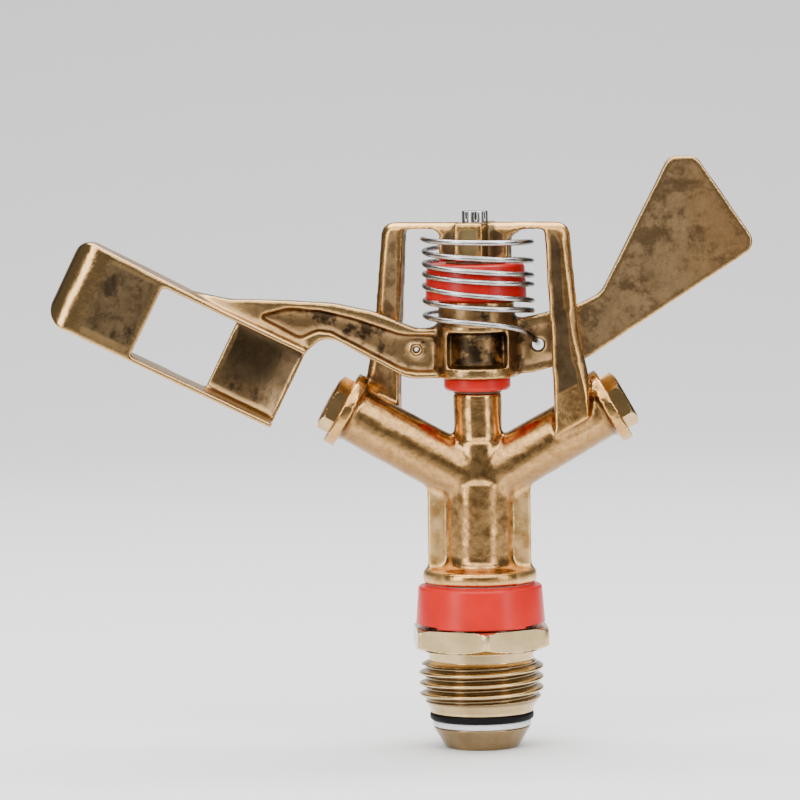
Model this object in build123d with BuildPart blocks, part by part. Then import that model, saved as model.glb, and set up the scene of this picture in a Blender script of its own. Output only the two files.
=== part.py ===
from build123d import *
import math
import os

# Impact sprinkler: a screwed inlet nipple, a head that turns on a bearing tube,
# and a sprung arm that swings on a steel pin and strikes the head round.
# Millimetres. The origin is on the turning axis, at the lower end of the inlet
# thread. +Z is up, the main barrel points to -X and the bridge stands a little
# turned out of the XZ plane.

# ---- driving dimensions --------------------------------------------------------

# G1/2 male inlet
THREAD_R = 20.955 / 2
THREAD_PITCH = 1.814
THREAD_DEPTH = 1.162
THREAD_FLANK = 27.5
THREAD_CRESTS = 4
CREST_HALF = 0.151
FIRST_CREST_Z = 0.45
NIPPLE_LOW = -1.8
NIPPLE_END_R = 8.65
NIPPLE_LEAD_Z = -1.35
NECK_R = 8.85
HEX_AF = 22.0
HEX_LOW = 8.9
HEX_HIGH = 12.7
HEX_YAW = 3.0
HEX_CHAMFER = 1.0
NECK_RUN = 0.3

# bearing tube and the washers on it
TUBE_R = 5.8
TUBE_BORE_R = 3.9
TUBE_LOW = -7.8
TUBE_END_R = 6.15
FOOT_R = 8.35
FOOT_TOP = -4.1
SPIGOT_R = 5.0
SPIGOT_TOP = 24.0
RUNNING_CLEARANCE = 0.05
PTFE_TOP = -3.1
PTFE_R = 8.3
RUBBER_R = 8.75
RUBBER_EDGE_R = 0.4
SEAT_WASHER_R = 8.9
SEAT_WASHER_T = 0.5
SEAT_WASHER_BORE = 6.1

# spring cover
COVER_LOW = 12.9
COVER_TOP = 19.6
COVER_LOW_R = 10.9
COVER_TOP_R = 10.35
COVER_BORE_R = 9.3
COVER_LID = 1.3
COVER_EDGE_R = 0.9
COVER_NOTCH_X = 7.4
COVER_NOTCH_Z = 0.45
COVER_LIP_R = 9.35
COVER_LIP_BORE_R = 8.95
COVER_LIP_GAP = 0.05

# bearing spring
BEARING_WIRE_R = 0.5
BEARING_COIL_R = 7.5
BEARING_PITCH = 1.4
BEARING_END_GAP = 0.05

# head casting
FLANGE_LOW = 20.0
FLANGE_TOP = 22.4
FLANGE_R = 9.55
FLANGE_EDGE_R = 0.7
CORE_R = 5.7
FIN_X = 8.65
FIN_T = 3.6
FIN_TOP = 37.0
CORE_FOOT = 1.2
CORE_TAPER_Z = 33.0
WATERWAY_R = 4.1

# barrels
BARREL_ANGLE = 29.5
BARREL_Z = 36.9
BARREL_ROOT_R = 5.0
BARREL_END_R = 4.65
COLLAR_START = 24.4
COLLAR_END = 26.3
COLLAR_R = 6.5
BARREL_BORE_R = 3.4

# nozzles
NOZZLE_AF = 8.45
NOZZLE_END = 28.7
NOZZLE_SHANK = 7.0
NOZZLE_WALL = 0.5
NOZZLE_MOUTH = 0.4
RANGE_ORIFICE_R = 1.9
SPREADER_ORIFICE_R = 1.2
VANE_LENGTH = 9.0
VANE_T = 0.6

# stem, pin and bridge
STEM_R = 4.05
STEM_STEP_R = 4.6
STEM_STEP_Z = 44.0
STEM_TOP = 52.0
PIN_R = 2.2
PIN_LOW = 44.5
PIN_TOP = 82.5
PIN_FLUTES = 8
PIN_FLUTE_R = 0.28
PIN_FLUTE_Z = 80.9
BRIDGE_TURN = 15.0
BRIDGE_T = 3.2
BRIDGE_TOP = 80.6
CROSSBAR_LOW = 79.4
BRIDGE_CORNER_R = 2.2
POST_TOP_OUT = 16.0
POST_TOP_IN = 12.1
POST_MID_Z = 62.0
POST_MID_OUT = 17.65
POST_MID_IN = 13.1
POST_FOOT_OUT = 19.4
POST_FOOT_Z = 53.4
POST_FOOT_IN = 13.6
POST_EDGE = 1.0
COLUMN_LOW = 74.1
COLUMN_HALF = 5.9
COLUMN_RIB = 5.0
COLUMN_DEPTH = 10.4
GUSSET_LEFT = 6.8
GUSSET_LEFT_LOW = 78.5
GUSSET_RIGHT = 8.0
GUSSET_RIGHT_LOW = 78.0

# arm hub and bushes
LOWER_BUSH_R = 5.6
LOWER_BUSH_LOW = 52.4
HUB_LOW = 54.6
HUB_TOP = 63.5
HUB_R = 6.9
HUB_BOSS_R = 6.4
HUB_BOSS_TOP = 67.7
HUB_CORE_R = 4.2
HUB_POCKET_HALF = 5.0
HUB_POCKET_LOW = 56.35
HUB_POCKET_TOP = 62.35
HUB_BORE_R = 3.1
BUSH_SPLIT_Z = 60.5
UPPER_BUSH_TOP = 73.7
UPPER_BUSH_LOW_R = 8.5
UPPER_BUSH_TOP_R = 8.2
BUSH_EDGE = 0.6

# arm
ARM_FRONT = 2.4
ARM_BACK = 1.35
WEB_HALF = 0.8
WING_BACK = 1.65
EYE_X = -10.15
EYE_Z = 59.4
EYE_R = 1.3
EYE_HOLE_R = 0.6
SPRING_HOLE_X = 10.3
SPRING_HOLE_Z = 59.9
SPRING_HOLE_R = 1.1

# spoon, measured from its inner lower corner
SPOON_X = -34.7
SPOON_Z = 46.85
SPOON_TILT = 26.4
SPOON_LENGTH = 42.1
SPOON_HALF = 5.0
SPOON_INNER_HEIGHT = 14.4
SPOON_HEIGHT = 15.3
SPOON_RISE_U = 15.0
RAIL_BOTTOM = 0.85
RAIL_TOP_V = 13.6
SPOON_LOW_CORNER_R = 3.5
SPOON_TOP_CORNER_R = 2.6
WINDOW_START = 12.7
WINDOW_END = 26.3
VANE_WALL = 1.3
CURL_R = 4.5

# arm spring
ARM_WIRE_R = 0.45
ARM_COIL_R = 9.25
ARM_SPRING_LOW = 66.1
ARM_SPRING_TOP = 76.9
ARM_SPRING_PITCH = 1.95

os.makedirs("parts", exist_ok=True)


# ---- helpers -------------------------------------------------------------------

def ring(outer, inner, low, high):
    """A flat ring about the turning axis."""
    with BuildPart() as made:
        with BuildSketch(Plane.XY.offset(low)):
            Circle(outer)
            Circle(inner, mode=Mode.SUBTRACT)
        extrude(amount=high - low)
    return made.part


def turned(points):
    """A closed (radius, height) outline turned about the Z axis."""
    with BuildPart() as made:
        with BuildSketch(Plane.XZ):
            with BuildLine():
                Polyline(*points, close=True)
            make_face()
        revolve(axis=Axis.Z)
    return made.part


def plate(outline, front, back):
    """A plate from a rounded (x, z, radius) outline, from y = -front to y = back."""
    with BuildPart() as made:
        with BuildSketch(Plane.XZ.offset(-back)):
            with BuildLine():
                FilletPolyline(
                    *[(x, z) for x, z, _ in outline],
                    radius=[r for _, _, r in outline],
                    close=True,
                )
            make_face()
        extrude(amount=front + back)
    return made.part


def coil(wire_r, coil_r, pitch, low, high):
    """A round wire wound about the turning axis."""
    with BuildPart() as made:
        with BuildLine():
            path = Helix(pitch=pitch, height=high - low, radius=coil_r, center=(0, 0, low))
        with BuildSketch(Plane(origin=path @ 0, z_dir=path % 0)):
            Circle(wire_r)
        sweep(is_frenet=True)
    return made.part


def barrel_plane(side, distance):
    """The plane across a barrel, at a distance from the meeting point of the axes."""
    run = math.cos(math.radians(BARREL_ANGLE))
    rise = math.sin(math.radians(BARREL_ANGLE))
    return Plane(
        origin=(side * run * distance, 0, BARREL_Z + rise * distance),
        x_dir=(0, 1, 0),
        z_dir=(side * run, 0, rise),
    )


def save(piece, name):
    piece.part.label = name
    export_step(piece.part, f"parts/{name}.step")
    print(name, round(piece.part.volume, 1), "mm3")


# ---- inlet nipple --------------------------------------------------------------

thread_root_r = THREAD_R - THREAD_DEPTH
flank_run = THREAD_DEPTH * math.tan(math.radians(THREAD_FLANK))
crest_heights = [FIRST_CREST_Z + THREAD_PITCH * k for k in range(THREAD_CRESTS)]
thread_profile = []
for crest_z in crest_heights:
    thread_profile += [
        (thread_root_r, crest_z - CREST_HALF - flank_run),
        (THREAD_R, crest_z - CREST_HALF),
        (THREAD_R, crest_z + CREST_HALF),
        (thread_root_r, crest_z + CREST_HALF + flank_run),
    ]
thread_runout_z = crest_heights[-1] + CREST_HALF + flank_run
nipple_bore_r = TUBE_R + RUNNING_CLEARANCE
hex_corner_r = HEX_AF / math.sqrt(3)

with BuildPart() as hexagon:
    with BuildSketch(Plane.XY.offset(HEX_LOW)):
        RegularPolygon(hex_corner_r, 6, rotation=30 + HEX_YAW)
    extrude(amount=HEX_HIGH - HEX_LOW)
    with BuildSketch(Plane.XZ):
        with BuildLine():
            Polyline(
                (0, HEX_LOW),
                (hex_corner_r - 2 * HEX_CHAMFER, HEX_LOW),
                (hex_corner_r, HEX_LOW + HEX_CHAMFER),
                (hex_corner_r, HEX_HIGH - HEX_CHAMFER / 3),
                (hex_corner_r - HEX_CHAMFER, HEX_HIGH),
                (0, HEX_HIGH),
                close=True,
            )
        make_face()
    revolve(axis=Axis.Z, mode=Mode.INTERSECT)

with BuildPart() as inlet_nipple:
    add(turned([
        (nipple_bore_r, NIPPLE_LOW),
        (NIPPLE_END_R, NIPPLE_LOW),
        (NIPPLE_END_R, NIPPLE_LEAD_Z),
        *thread_profile,
        (NECK_R, thread_runout_z + NECK_RUN),
        (NECK_R, HEX_HIGH),
        (nipple_bore_r, HEX_HIGH),
    ]))
    add(hexagon.part)
    with BuildSketch(Plane.XY.offset(NIPPLE_LOW)):
        Circle(nipple_bore_r)
    extrude(amount=HEX_HIGH - NIPPLE_LOW, mode=Mode.SUBTRACT)
save(inlet_nipple, "inlet_nipple")

# ---- bearing tube and washers ------------------------------------------------------

with BuildPart() as bearing_tube:
    add(turned([
        (TUBE_BORE_R, TUBE_LOW),
        (TUBE_END_R, TUBE_LOW),
        (FOOT_R, FOOT_TOP),
        (TUBE_R, FOOT_TOP),
        (TUBE_R, FLANGE_LOW),
        (SPIGOT_R, FLANGE_LOW),
        (SPIGOT_R, SPIGOT_TOP),
        (TUBE_BORE_R, SPIGOT_TOP),
    ]))
save(bearing_tube, "bearing_tube")

with BuildPart() as ptfe_thrust_washer:
    add(ring(PTFE_R, nipple_bore_r, FOOT_TOP, PTFE_TOP))
save(ptfe_thrust_washer, "ptfe_thrust_washer")

with BuildPart() as rubber_seal_washer:
    add(ring(RUBBER_R, nipple_bore_r, PTFE_TOP, NIPPLE_LOW))
    fillet(rubber_seal_washer.edges().filter_by(GeomType.CIRCLE).group_by(SortBy.RADIUS)[-1], RUBBER_EDGE_R)
save(rubber_seal_washer, "rubber_seal_washer")

spring_low = HEX_HIGH + SEAT_WASHER_T
lid_low = COVER_TOP - COVER_LID
spring_high = lid_low - SEAT_WASHER_T

with BuildPart() as spring_seat_washer:
    add(ring(SEAT_WASHER_R, SEAT_WASHER_BORE, HEX_HIGH, spring_low))
save(spring_seat_washer, "spring_seat_washer")

with BuildPart() as spring_top_washer:
    add(ring(SEAT_WASHER_R, SEAT_WASHER_BORE, spring_high, lid_low))
save(spring_top_washer, "spring_top_washer")

with BuildPart() as bearing_spring:
    add(coil(
        BEARING_WIRE_R, BEARING_COIL_R, BEARING_PITCH,
        spring_low + BEARING_WIRE_R + BEARING_END_GAP,
        spring_high - BEARING_WIRE_R - BEARING_END_GAP,
    ))
save(bearing_spring, "bearing_spring")

with BuildPart() as spring_cover:
    add(turned([
        (nipple_bore_r, lid_low),
        (COVER_BORE_R, lid_low),
        (COVER_BORE_R, COVER_LOW),
        (COVER_LOW_R, COVER_LOW),
        (COVER_TOP_R, COVER_TOP),
        (nipple_bore_r, COVER_TOP),
    ]))
    top_rim = spring_cover.faces().sort_by(Axis.Z)[-1].edges().sort_by(SortBy.RADIUS)[-1]
    fillet(top_rim, COVER_EDGE_R)
    add(ring(COVER_LIP_R, COVER_LIP_BORE_R, COVER_TOP - COVER_LIP_GAP, FLANGE_LOW - COVER_LIP_GAP))
    for side in (-1, 1):
        with BuildSketch(Plane.XY.offset(COVER_LOW)):
            with Locations((side * (COVER_NOTCH_X + COVER_LOW_R) / 2, 0)):
                Rectangle(COVER_LOW_R - COVER_NOTCH_X, 3 * COVER_LOW_R)
        extrude(amount=COVER_NOTCH_Z, mode=Mode.SUBTRACT)
save(spring_cover, "spring_cover")

with BuildPart() as upper_thrust_washer:
    add(ring(SEAT_WASHER_R, nipple_bore_r, COVER_TOP, FLANGE_LOW))
save(upper_thrust_washer, "upper_thrust_washer")

# ---- head casting ------------------------------------------------------------------

bridge_plane = Plane(
    origin=(0, 0, 0),
    x_dir=(math.cos(math.radians(BRIDGE_TURN)), -math.sin(math.radians(BRIDGE_TURN)), 0),
    z_dir=(-math.sin(math.radians(BRIDGE_TURN)), -math.cos(math.radians(BRIDGE_TURN)), 0),
)


def barrel_axis_z(out):
    """Height of the barrel axes at a distance out from the turning axis."""
    return BARREL_Z + out * math.tan(math.radians(BARREL_ANGLE))


with BuildPart() as bridge:
    with BuildSketch(bridge_plane):
        for side in (-1, 1):
            with BuildLine():
                Polyline(
                    (side * POST_TOP_IN, BRIDGE_TOP),
                    (side * POST_TOP_OUT, BRIDGE_TOP),
                    (side * POST_MID_OUT, POST_MID_Z),
                    (side * POST_FOOT_OUT, POST_FOOT_Z),
                    (side * POST_FOOT_OUT, barrel_axis_z(POST_FOOT_OUT)),
                    (side * POST_FOOT_IN, barrel_axis_z(POST_FOOT_IN)),
                    (side * POST_MID_IN, POST_MID_Z),
                    close=True,
                )
            make_face()
        with BuildLine():
            Polyline(
                (-POST_TOP_IN - 1, BRIDGE_TOP),
                (POST_TOP_IN + 1, BRIDGE_TOP),
                (POST_TOP_IN + 1, CROSSBAR_LOW),
                (GUSSET_RIGHT, CROSSBAR_LOW),
                (COLUMN_HALF, GUSSET_RIGHT_LOW),
                (COLUMN_HALF, COLUMN_LOW),
                (-COLUMN_HALF, COLUMN_LOW),
                (-COLUMN_HALF, GUSSET_LEFT_LOW),
                (-GUSSET_LEFT, CROSSBAR_LOW),
                (-POST_TOP_IN - 1, CROSSBAR_LOW),
                close=True,
            )
        make_face()
    extrude(amount=BRIDGE_T / 2, both=True)
    top_corners = [
        edge for edge in bridge.edges()
        if abs(edge.center().Z - BRIDGE_TOP) < 0.01
        and abs(abs(bridge_plane.to_local_coords(edge.center()).X) - POST_TOP_OUT) < 0.01
    ]
    fillet(top_corners, BRIDGE_CORNER_R)
    # the outer edges of the whole bridge, front and rear, are blunt
    post_edges = []
    for edge in bridge.edges():
        middle = bridge_plane.to_local_coords(edge.center())
        if abs(middle.X) > POST_TOP_OUT and abs(abs(middle.Z) - BRIDGE_T / 2) < 0.01 and middle.Y > POST_FOOT_Z:
            post_edges.append(edge)
    chamfer(post_edges, POST_EDGE)
    with BuildSketch(Plane.XY.offset(COLUMN_LOW)):
        Rectangle(COLUMN_RIB, COLUMN_DEPTH, rotation=-BRIDGE_TURN)
    extrude(amount=BRIDGE_TOP - COLUMN_LOW)

with BuildPart() as head_casting:
    with BuildSketch(Plane.XY.offset(FLANGE_LOW)):
        Circle(FLANGE_R)
    extrude(amount=FLANGE_TOP - FLANGE_LOW)
    fillet(head_casting.edges(), FLANGE_EDGE_R)
    with BuildSketch(Plane.XY.offset(FLANGE_LOW)):
        Circle(CORE_R)
        Rectangle(2 * FIN_X, FIN_T)
    extrude(amount=FIN_TOP - FLANGE_LOW)
    add(turned([
        (0, FLANGE_TOP),
        (CORE_R + CORE_FOOT, FLANGE_TOP),
        (CORE_R, FLANGE_TOP + CORE_FOOT),
        (0, FLANGE_TOP + CORE_FOOT),
    ]))
    add(turned([(0, CORE_TAPER_Z), (CORE_R, CORE_TAPER_Z), (STEM_STEP_R, STEM_STEP_Z), (0, STEM_STEP_Z)]))
    add(turned([(0, STEM_STEP_Z), (STEM_R, STEM_STEP_Z), (STEM_R, STEM_TOP), (0, STEM_TOP)]))
    for side in (-1, 1):
        with BuildSketch(barrel_plane(side, 0)):
            Circle(BARREL_ROOT_R)
        with BuildSketch(barrel_plane(side, COLLAR_END)):
            Circle(BARREL_END_R)
        loft()
        with BuildSketch(barrel_plane(side, COLLAR_START)):
            Circle(COLLAR_R)
        extrude(amount=COLLAR_END - COLLAR_START)
    add(bridge.part)
    # waterway: tube socket, riser and the two barrel bores
    with BuildSketch(Plane.XY.offset(FLANGE_LOW)):
        Circle(SPIGOT_R)
    extrude(amount=SPIGOT_TOP - FLANGE_LOW, mode=Mode.SUBTRACT)
    with BuildSketch(Plane.XY.offset(SPIGOT_TOP)):
        Circle(WATERWAY_R)
    extrude(amount=BARREL_Z - SPIGOT_TOP, mode=Mode.SUBTRACT)
    for side in (-1, 1):
        with BuildSketch(barrel_plane(side, 0)):
            Circle(BARREL_BORE_R)
        extrude(amount=COLLAR_END, mode=Mode.SUBTRACT)
    # pin seats in the stem and through the bridge column
    with BuildSketch(Plane.XY.offset(PIN_LOW)):
        Circle(PIN_R)
    extrude(amount=PIN_TOP - PIN_LOW, mode=Mode.SUBTRACT)
save(head_casting, "head_casting")

# ---- nozzles and straightener --------------------------------------------------------


def nozzle(side, orifice_r):
    """A hexagon nozzle screwed into a barrel, with a tapered way to its orifice."""
    with BuildPart() as made:
        with BuildSketch(barrel_plane(side, COLLAR_END - NOZZLE_SHANK)):
            Circle(BARREL_BORE_R)
        extrude(amount=NOZZLE_SHANK)
        with BuildSketch(barrel_plane(side, COLLAR_END)):
            RegularPolygon(NOZZLE_AF / math.sqrt(3), 6, rotation=30)
        extrude(amount=NOZZLE_END - COLLAR_END)
        with BuildSketch(barrel_plane(side, COLLAR_END - NOZZLE_SHANK)):
            Circle(BARREL_BORE_R - NOZZLE_WALL)
        with BuildSketch(barrel_plane(side, COLLAR_END)):
            Circle(orifice_r)
        loft(mode=Mode.SUBTRACT)
        with BuildSketch(barrel_plane(side, COLLAR_END)):
            Circle(orifice_r)
        extrude(amount=NOZZLE_END - COLLAR_END, mode=Mode.SUBTRACT)
        mouth = made.faces().sort_by(Axis((0, 0, BARREL_Z), barrel_plane(side, 1).z_dir))[-1]
        chamfer(mouth.edges().filter_by(GeomType.CIRCLE), NOZZLE_MOUTH)
    return made.part


with BuildPart() as range_nozzle:
    add(nozzle(-1, RANGE_ORIFICE_R))
save(range_nozzle, "range_nozzle")

with BuildPart() as spreader_nozzle:
    add(nozzle(1, SPREADER_ORIFICE_R))
save(spreader_nozzle, "spreader_nozzle")

vane_start = COLLAR_END - NOZZLE_SHANK - VANE_LENGTH - 0.5
with BuildPart() as stream_straightener:
    with BuildSketch(barrel_plane(-1, vane_start)):
        Circle(BARREL_BORE_R)
        Circle(BARREL_BORE_R - VANE_T, mode=Mode.SUBTRACT)
        Rectangle(VANE_T, 2 * BARREL_BORE_R - VANE_T)
        Rectangle(2 * BARREL_BORE_R - VANE_T, VANE_T)
    extrude(amount=VANE_LENGTH)
save(stream_straightener, "stream_straightener")

# ---- fulcrum pin and its washers -----------------------------------------------------

with BuildPart() as fulcrum_pin:
    with BuildSketch(Plane.XY.offset(PIN_LOW)):
        Circle(PIN_R)
    extrude(amount=PIN_TOP - PIN_LOW)
    chamfer(fulcrum_pin.faces().sort_by(Axis.Z)[-1].edges(), 0.3)
    with BuildSketch(Plane.XY.offset(PIN_FLUTE_Z)):
        with PolarLocations(PIN_R, PIN_FLUTES, start_angle=HEX_YAW):
            Circle(PIN_FLUTE_R)
    extrude(amount=PIN_TOP - PIN_FLUTE_Z, mode=Mode.SUBTRACT)
save(fulcrum_pin, "fulcrum_pin")

pin_clear_r = PIN_R + RUNNING_CLEARANCE

with BuildPart() as stem_wear_washer:
    add(ring(STEM_R, pin_clear_r, STEM_TOP, LOWER_BUSH_LOW))
save(stem_wear_washer, "stem_wear_washer")

with BuildPart() as pin_thrust_washer:
    add(ring(COLUMN_RIB, pin_clear_r, UPPER_BUSH_TOP, COLUMN_LOW))
save(pin_thrust_washer, "pin_thrust_washer")

# ---- arm bushes ------------------------------------------------------------------------

with BuildPart() as lower_arm_bush:
    add(turned([
        (pin_clear_r, LOWER_BUSH_LOW),
        (LOWER_BUSH_R - BUSH_EDGE, LOWER_BUSH_LOW),
        (LOWER_BUSH_R, LOWER_BUSH_LOW + BUSH_EDGE),
        (LOWER_BUSH_R, HUB_LOW),
        (HUB_BORE_R, HUB_LOW),
        (HUB_BORE_R, BUSH_SPLIT_Z),
        (pin_clear_r, BUSH_SPLIT_Z),
    ]))
save(lower_arm_bush, "lower_arm_bush")

with BuildPart() as upper_arm_bush:
    add(turned([
        (pin_clear_r, BUSH_SPLIT_Z),
        (HUB_BORE_R, BUSH_SPLIT_Z),
        (HUB_BORE_R, HUB_BOSS_TOP),
        (UPPER_BUSH_LOW_R, HUB_BOSS_TOP),
        (UPPER_BUSH_TOP_R, UPPER_BUSH_TOP - BUSH_EDGE),
        (UPPER_BUSH_TOP_R - BUSH_EDGE, UPPER_BUSH_TOP),
        (pin_clear_r, UPPER_BUSH_TOP),
    ]))
save(upper_arm_bush, "upper_arm_bush")

# ---- impact arm ------------------------------------------------------------------------

# the left half in side view: flanges round a thin web, from the hub to the spoon rail
arm_outline = [
    (0, HUB_TOP, 0),
    (-10.0, HUB_TOP - 0.6, 4),
    (-17.2, 65.9, 8),
    (-24.0, 67.4, 14),
    (-34.0, 68.1, 14),
    (-41.0, 68.3, 5),
    (-45.5, 69.3, 3),
    (-49.0, 70.2, 0),
    (-48.6, 69.6, 0),
    (-28.6, 59.3, 0),
    (-26.1, 61.4, 1.8),
    (-24.0, 61.4, 1.5),
    (-11.5, 54.5, 7),
    (-8.0, HUB_LOW, 0),
    (0, HUB_LOW, 0),
]
pocket_outline = [
    (-6.4, 61.9, 0.5),
    (-12.6, 62.1, 4),
    (-20.5, 64.9, 8),
    (-26.0, 66.3, 8),
    (-31.5, 66.8, 5),
    (-36.8, 65.5, 0.4),
    (-29.6, 61.5, 0.8),
    (-26.6, 62.8, 0.8),
    (-24.6, 62.6, 1.5),
    (-11.8, 55.7, 7),
    (-6.4, 55.6, 0.5),
]
# the right half: a wing behind the bridge post that carries the counterweight paddle
paddle_outline = [
    (0, HUB_LOW, 0),
    (9.0, HUB_LOW + 0.6, 8),
    (18.4, 57.5, 6),
    (47.3, 76.0, 2.4),
    (37.1, 91.1, 2.2),
    (32.5, 91.1, 2.2),
    (20.8, 68.3, 3.5),
    (16.6, 66.3, 6),
    (8.0, HUB_TOP + 1.0, 4),
    (0, HUB_TOP, 0),
]
wing_pocket_outline = [
    (7.6, 56.6, 0.6),
    (15.4, 58.4, 0.6),
    (15.4, 63.9, 0.6),
    (7.6, 62.6, 0.6),
]

tilt = math.radians(SPOON_TILT)
spoon_origin = Vector(SPOON_X, 0, SPOON_Z)
spoon_along = Vector(-math.cos(tilt), 0, math.sin(tilt))
spoon_up = Vector(math.sin(tilt), 0, math.cos(tilt))
spoon_side = Plane(origin=spoon_origin, x_dir=spoon_along, z_dir=(0, 1, 0))
spoon_plan = Plane(origin=spoon_origin, x_dir=spoon_along, z_dir=spoon_up)
# in spoon_plan, local x runs out along the spoon and local y is -Y
curl_centre = SPOON_LENGTH - CURL_R

with BuildPart() as spoon:
    # plan of the whole box, front face flat and then curled round its outer end
    with BuildSketch(spoon_plan):
        with BuildLine():
            front = Line((0, SPOON_HALF), (curl_centre, SPOON_HALF))
            curl = CenterArc((curl_centre, SPOON_HALF - CURL_R), CURL_R, 90, -90)
            end = Line(curl @ 1, (SPOON_LENGTH, -1.6))
            Line(end @ 1, (WINDOW_END + 3, -SPOON_HALF))
            Line((WINDOW_END + 3, -SPOON_HALF), (0, -SPOON_HALF))
            Line((0, -SPOON_HALF), (0, SPOON_HALF))
        make_face()
    extrude(amount=SPOON_HEIGHT)
    # side view: rounded outer corners, and a top rail that rises toward the outer end
    with BuildSketch(spoon_side):
        with BuildLine():
            FilletPolyline(
                (0, 0),
                (SPOON_LENGTH, 0),
                (SPOON_LENGTH, SPOON_HEIGHT),
                (SPOON_RISE_U, SPOON_INNER_HEIGHT),
                (0, SPOON_INNER_HEIGHT),
                radius=[0, SPOON_LOW_CORNER_R, SPOON_TOP_CORNER_R, 2, 0],
                close=True,
            )
        make_face()
    extrude(amount=SPOON_HALF + 1, both=True, mode=Mode.INTERSECT)
    # the space between the rails and the two vanes
    with BuildSketch(spoon_plan.offset(RAIL_BOTTOM)):
        with BuildLine():
            Polyline((-1, SPOON_HALF + 1), (WINDOW_END, SPOON_HALF + 1), (WINDOW_END, SPOON_HALF - VANE_WALL))
            Line((WINDOW_END, SPOON_HALF - VANE_WALL), (curl_centre, SPOON_HALF - VANE_WALL))
            inner = CenterArc((curl_centre, SPOON_HALF - CURL_R), CURL_R - VANE_WALL, 90, -90)
            Polyline(
                inner @ 1,
                (SPOON_LENGTH - VANE_WALL, -SPOON_HALF - 1),
                (WINDOW_START, -SPOON_HALF - 1),
                (WINDOW_START, -SPOON_HALF + VANE_WALL),
                (WINDOW_START - 5, -SPOON_HALF + VANE_WALL),
            )
            hollow = ThreePointArc(
                (WINDOW_START - 5, -SPOON_HALF + VANE_WALL),
                (3.2, -SPOON_HALF + VANE_WALL + 0.5),
                (-1, -SPOON_HALF + VANE_WALL + 2.2),
            )
            Line(hollow @ 1, (-1, SPOON_HALF + 1))
        make_face()
    extrude(amount=RAIL_TOP_V - RAIL_BOTTOM, mode=Mode.SUBTRACT)
    # the back of the inner vane follows its hollow
    with BuildSketch(spoon_plan):
        with BuildLine():
            Polyline((-1, -SPOON_HALF - 1), (WINDOW_START - 5, -SPOON_HALF - 1), (WINDOW_START - 5, -SPOON_HALF))
            back = ThreePointArc(
                (WINDOW_START - 5, -SPOON_HALF),
                (3.2, -SPOON_HALF + 0.5),
                (-1, -SPOON_HALF + 2.2),
            )
            Line(back @ 1, (-1, -SPOON_HALF - 1))
        make_face()
    extrude(amount=SPOON_HEIGHT, mode=Mode.SUBTRACT)

with BuildPart() as impact_arm:
    add(plate(arm_outline, ARM_FRONT, ARM_BACK))
    add(plate(pocket_outline, ARM_FRONT + 1, -WEB_HALF), mode=Mode.SUBTRACT)
    add(plate(pocket_outline, -WEB_HALF, ARM_BACK + 1), mode=Mode.SUBTRACT)
    add(plate(paddle_outline, ARM_BACK, WING_BACK))
    add(plate(wing_pocket_outline, ARM_BACK + 1, -WEB_HALF), mode=Mode.SUBTRACT)
    add(spoon.part)
    add(ring(HUB_R, HUB_BORE_R, HUB_LOW, HUB_TOP))
    add(ring(HUB_BOSS_R, HUB_BORE_R, HUB_TOP, HUB_BOSS_TOP))
    with BuildSketch(Plane.XZ):
        with Locations((EYE_X, EYE_Z)):
            Circle(EYE_R)
    extrude(amount=ARM_BACK, both=True)
    # a window through the hub's front and back leaves its core standing
    pocket_z = (HUB_POCKET_LOW + HUB_POCKET_TOP) / 2
    for side in (-1, 1):
        with BuildSketch(Plane.XZ.offset(side * HUB_R * 1.2)):
            with Locations((0, pocket_z)):
                Rectangle(2 * HUB_POCKET_HALF, HUB_POCKET_TOP - HUB_POCKET_LOW)
        extrude(amount=-side * (HUB_R * 1.2 - 1.5), mode=Mode.SUBTRACT)
    add(ring(HUB_CORE_R, HUB_BORE_R, HUB_LOW, HUB_TOP))
    with BuildSketch(Plane.XY.offset(HUB_LOW)):
        Circle(HUB_BORE_R)
    extrude(amount=HUB_BOSS_TOP - HUB_LOW, mode=Mode.SUBTRACT)
    with BuildSketch(Plane.XZ):
        with Locations((EYE_X, EYE_Z)):
            Circle(EYE_HOLE_R)
        with Locations((SPRING_HOLE_X, SPRING_HOLE_Z)):
            Circle(SPRING_HOLE_R)
    extrude(amount=HUB_R, both=True, mode=Mode.SUBTRACT)
save(impact_arm, "impact_arm")

with BuildPart() as arm_spring:
    add(coil(ARM_WIRE_R, ARM_COIL_R, ARM_SPRING_PITCH, ARM_SPRING_LOW, ARM_SPRING_TOP))
save(arm_spring, "arm_spring")
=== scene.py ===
# %% [markdown]
# # A brass impact sprinkler
#
# A sprinkler of this kind is turned, cast and moulded: a pale machined nipple at the foot, a golden
# casting with two barrels and a bridge, a brown cast arm with its spoon and paddle, red plastic
# bushes, and springs of stainless wire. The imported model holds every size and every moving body.
# This lesson dresses it: turned pieces are lathed again with rounded edges, castings are softened
# by a voxel remesh, the thread and the springs come from Geometry Nodes, and each finish is a
# small tree of shader maths.

# %% Load the frame
import math

import bmesh
import bpy
import numpy as np
from mathutils import Matrix, Vector, noise


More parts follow.
